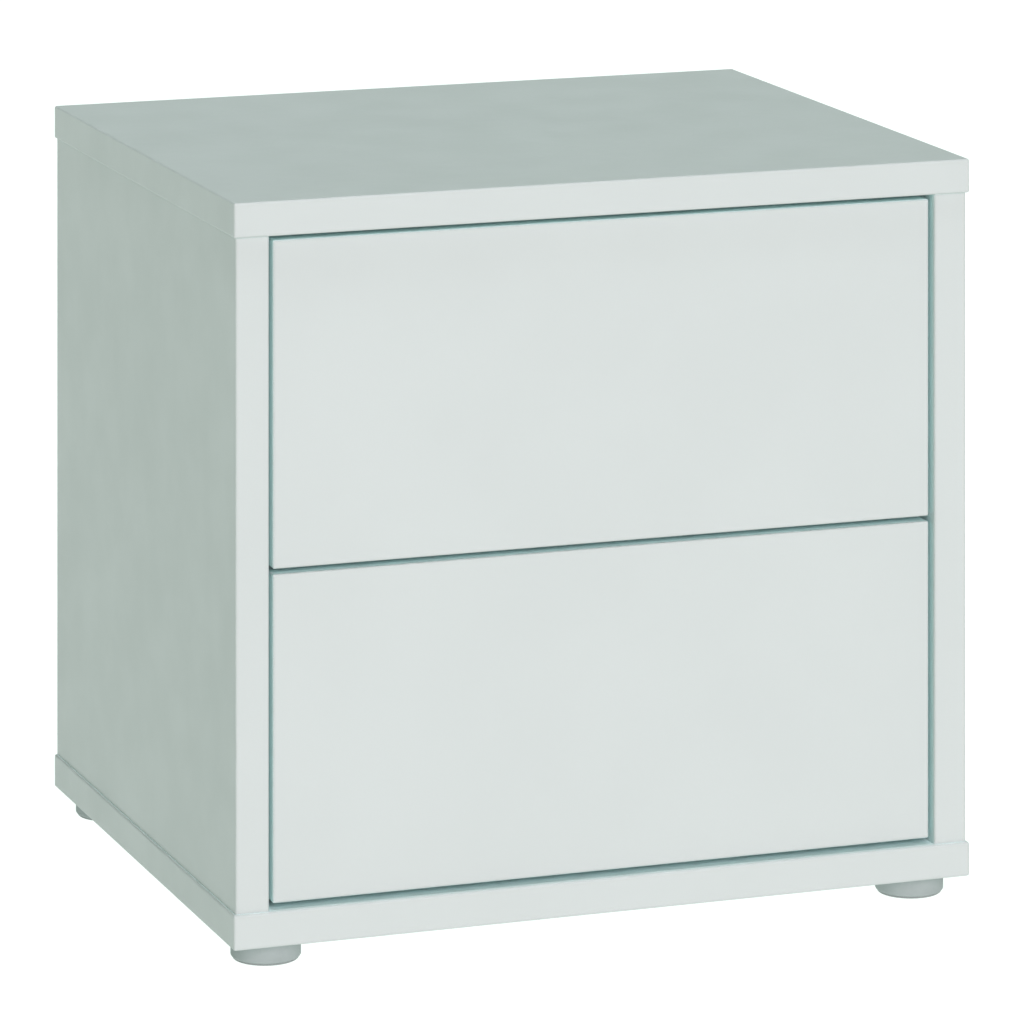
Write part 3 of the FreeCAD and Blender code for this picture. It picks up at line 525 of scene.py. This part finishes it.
def runner_holes(member, middle):
    """A member's holes: screw holes with slots between them, or for the middle one a window near
    each end."""
    if member == "middle":
        return [(middle + sign * WINDOW_PLACE, *WINDOW_HOLE) for sign in (-1, 1)]
    screws = [(middle + step * SCREW_STEP, *ROUND_HOLE) for step in (-1, 0, 1)]
    slots = [(middle + step * SCREW_STEP, *SLOT_HOLE) for step in SLOT_PLACES]
    return screws + slots


def make_runner(level, side, finish):
    """The three members of a runner, rolled from strip with curled ball tracks."""
    inward = 1 if side == "left" else -1
    cabinet_low, cabinet_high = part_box(f"{level}_{side}_cabinet_rail")
    face = cabinet_low.x if side == "left" else cabinet_high.x
    centre = (cabinet_low.z + cabinet_high.z) / 2

    def to_world(reach, along, up):
        """A place on the runner, in the frame's coordinates."""
        return (face + inward * reach, along, centre + up)

    for member, line in MEMBER_LINES.items():
        node = f"{level}_{side}_{member}_rail"
        low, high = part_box(node)
        mesh = swept(strip_outline(line), (low.y, high.y), to_world)
        bar = as_object(f"{level}_{side}_{member}_member", mesh)
        holes = runner_holes(member, (low.y + high.y) / 2)
        pierce(bar, as_object("cutter", hole_cutter(holes, to_world)))
        bar.data.materials.clear()
        bar.data.materials.append(finish)
        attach(bar, MEMBER_BODIES[member].format(level))
        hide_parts(node)


# ---------- feet ----------

FOOT_ROUND = 1.6 * MM
ROUND_STEPS = 6
FELT_THICK = 1.0 * MM
FELT_INSET = 1.2 * MM
FELT_BEVEL = 0.4 * MM
FOOT_SEGMENTS = 96


def foot_profiles(radius, height):
    """Radius and height pairs of the moulded foot and of the felt glued under it."""
    shell = [(0, FELT_THICK)]
    for step in range(ROUND_STEPS + 1):
        bend = math.radians(90 * step / ROUND_STEPS)
        across = radius - FOOT_ROUND + FOOT_ROUND * math.sin(bend)
        shell.append((across, FELT_THICK + FOOT_ROUND - FOOT_ROUND * math.cos(bend)))
    shell += [(radius, height), (0, height)]
    rim = radius - FELT_INSET
    felt = [(0, 0), (rim - FELT_BEVEL, 0), (rim, FELT_BEVEL), (rim, FELT_THICK), (0, FELT_THICK)]
    return shell, felt


def turn_profile(mesh, profile, centre, finish):
    """Turn a profile round an upright axis, adding its faces to a mesh with a material number. A
    point on the axis is a ring of one, and the faces that meet it are triangles."""
    rings = []
    for radius, height in profile:
        ring = []
        for turn in circle(FOOT_SEGMENTS) if radius else [0]:
            spot = (centre.x + radius * math.cos(turn), centre.y + radius * math.sin(turn), height)
            ring.append(mesh.verts.new(spot))
        rings.append(ring)
    for inner, outer in zip(rings, rings[1:]):
        for step in range(FOOT_SEGMENTS):
            after = (step + 1) % FOOT_SEGMENTS
            corners = [inner[step % len(inner)], outer[step % len(outer)]]
            corners += [outer[after % len(outer)], inner[after % len(inner)]]
            face = mesh.faces.new(dict.fromkeys(corners))
            face.material_index = finish
            face.smooth = True


def make_feet(finishes):
    """Four moulded feet with a felt pad under each, whose dark grey also serves as painted shade along the
    foot's bottom edge.
    """
    for node in [f"foot_{end}_{side}" for end in ("front", "rear") for side in SIDES]:
        low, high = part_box(node)
        mesh = bmesh.new()
        for number, profile in enumerate(foot_profiles((high.x - low.x) / 2, high.z)):
            turn_profile(mesh, profile, (low + high) / 2, number)
        bmesh.ops.recalc_face_normals(mesh, faces=mesh.faces)
        foot = as_object(f"{node}_glide", mesh)
        foot.data.set_sharp_from_angle(angle=SHARP_ANGLE)
        for finish in finishes:
            foot.data.materials.append(finish)
        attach(foot, "case")
        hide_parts(node)


# ---------- latch springs ----------

SPRING_WIRE = 0.6 * MM
SPRING_TURNS = 5
OPEN_TURNS = SPRING_TURNS - 2
CLOSED_PITCH = SPRING_WIRE * 1.05
STEPS_PER_TURN = 24
WIRE_SIDES = 10


def spring_rise(turns, length):
    """How far the wire has climbed after some turns. The first and last turn lie closed."""
    open_pitch = (length - 2 * CLOSED_PITCH) / OPEN_TURNS
    open_part = min(max(turns - 1, 0), OPEN_TURNS)
    return CLOSED_PITCH * (turns - open_part) + open_pitch * open_part


def wind_spring(mesh, centre, radius, length):
    """Add a coil of round wire along Y to a mesh, from its front end's centre."""
    wire = SPRING_WIRE / 2
    rings = []
    for step in range(SPRING_TURNS * STEPS_PER_TURN + 1):
        turns = step / STEPS_PER_TURN
        spot = 2 * math.pi * turns
        outward = Vector((math.cos(spot), 0, math.sin(spot)))
        middle = centre + outward * (radius - wire)
        middle.y += wire + spring_rise(turns, length - SPRING_WIRE)
        ring = []
        for bend in circle(WIRE_SIDES):
            along = Vector((0, wire * math.sin(bend), 0))
            ring.append(mesh.verts.new(middle + outward * wire * math.cos(bend) + along))
        rings.append(ring)
    for ring, ahead in zip(rings, rings[1:]):
        for face in bridge(mesh, ring, ahead):
            face.smooth = True
    mesh.faces.new(rings[0])
    mesh.faces.new(rings[-1])


def make_springs(level, finish):
    """The two springs behind a level's plungers, made at their rest length; they don't shorten here as the
    plungers press in.
    """
    node = f"{level}_latch_springs"
    low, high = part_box(node)
    radius = (high.z - low.z) / 2
    length = high.y - low.y
    mesh = bmesh.new()
    for x in (low.x + radius, high.x - radius):
        wind_spring(mesh, Vector((x, low.y, (low.z + high.z) / 2)), radius, length)
    bmesh.ops.recalc_face_normals(mesh, faces=mesh.faces)
    springs = as_object(f"{level}_latch_coils", mesh)
    springs.data.materials.append(finish)
    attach(springs, "case")
    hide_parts(node)
    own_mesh(springs)


# ---------- stage and light ----------

FLOOR_RADIUS = 40.0
FLOOR_CORNERS = 64
FLOOR_GREYS = ((0.039, 0.039, 0.039, 1), (0.041, 0.041, 0.041, 1))
FLOOR_LIGHT = (1.03, 1.12, 1.08)
SKY_LIGHT = (0.07, 0.14, 0.08)
# The sines of the heights between which the horizon's brightness gives way to the sky's.
HORIZON_BAND = (0.05, 0.09)
LIGHT_TURN = math.radians(-4)
LIGHT_AWAY = 4
LOW_LIGHT = (2.50, 2.16, 2.38)
LOW_HEIGHT = math.radians(20)
LOW_SOFTNESS = math.radians(50)
HIGH_LIGHT = (1.90, 1.99, 2.10)
HIGH_HEIGHT = math.radians(86)
HIGH_SOFTNESS = math.radians(12)


def make_floor():
    """A plain pale floor that glows, as a light table does."""
    mesh = bpy.data.meshes.new("floor")
    turns = circle(FLOOR_CORNERS)
    rim = [(FLOOR_RADIUS * math.cos(turn), FLOOR_RADIUS * math.sin(turn), 0) for turn in turns]
    mesh.from_pydata(rim, [], [range(FLOOR_CORNERS)])
    floor = bpy.data.objects.new("floor", mesh)
    bpy.context.scene.collection.objects.link(floor)
    shader = Shader("floor_paper")
    mottle = shader.noise(0.4, detail=3)
    tone = shader.blend(mottle, *FLOOR_GREYS)
    mesh.materials.append(shader.finish(tone, shader.remap(mottle, 0, 1, 0.9, 1.0), shader.bump(mottle, MM)))
    shader.surface.inputs["Specular IOR Level"].default_value = 0.0
    shader.surface.inputs["Emission Color"].default_value = (*FLOOR_LIGHT, 1)
    shader.surface.inputs["Emission Strength"].default_value = 1.0


def make_sky():
    """Even light from above, with a band along the horizon as bright as the floor."""
    world = bpy.data.worlds.new("studio")
    bpy.context.scene.world = world
    world.use_nodes = True
    sky = Nodes(world.node_tree)
    height = sky.add("ShaderNodeSeparateXYZ", {0: sky.coordinates["Generated"]}).outputs["Z"]
    tone = sky.blend(sky.remap(height, *HORIZON_BAND), (*FLOOR_LIGHT, 1), (*SKY_LIGHT, 1))
    sky.feed(sky.tree.nodes["Background"].inputs["Color"], tone)


def make_light(name, colour, height, softness):
    """A sun in front and a little to the left, at a height. A wide one is as soft as a window."""
    data = bpy.data.lights.new(name, "SUN")
    data.angle = softness
    data.energy = 1.0
    data.color = colour
    light = bpy.data.objects.new(name, data)
    bpy.context.scene.collection.objects.link(light)
    flat = math.cos(height)
    back = Vector((math.sin(LIGHT_TURN) * flat, -math.cos(LIGHT_TURN) * flat, math.sin(height)))
    light.location = back * LIGHT_AWAY
    light.rotation_euler = back.to_track_quat("Z", "Y").to_euler()


make_camera()
dress_nightstand()
make_floor()
make_sky()
make_light("low_light", LOW_LIGHT, LOW_HEIGHT, LOW_SOFTNESS)
make_light("high_light", HIGH_LIGHT, HIGH_HEIGHT, HIGH_SOFTNESS)
bpy.context.scene.view_settings.view_transform = "Standard"
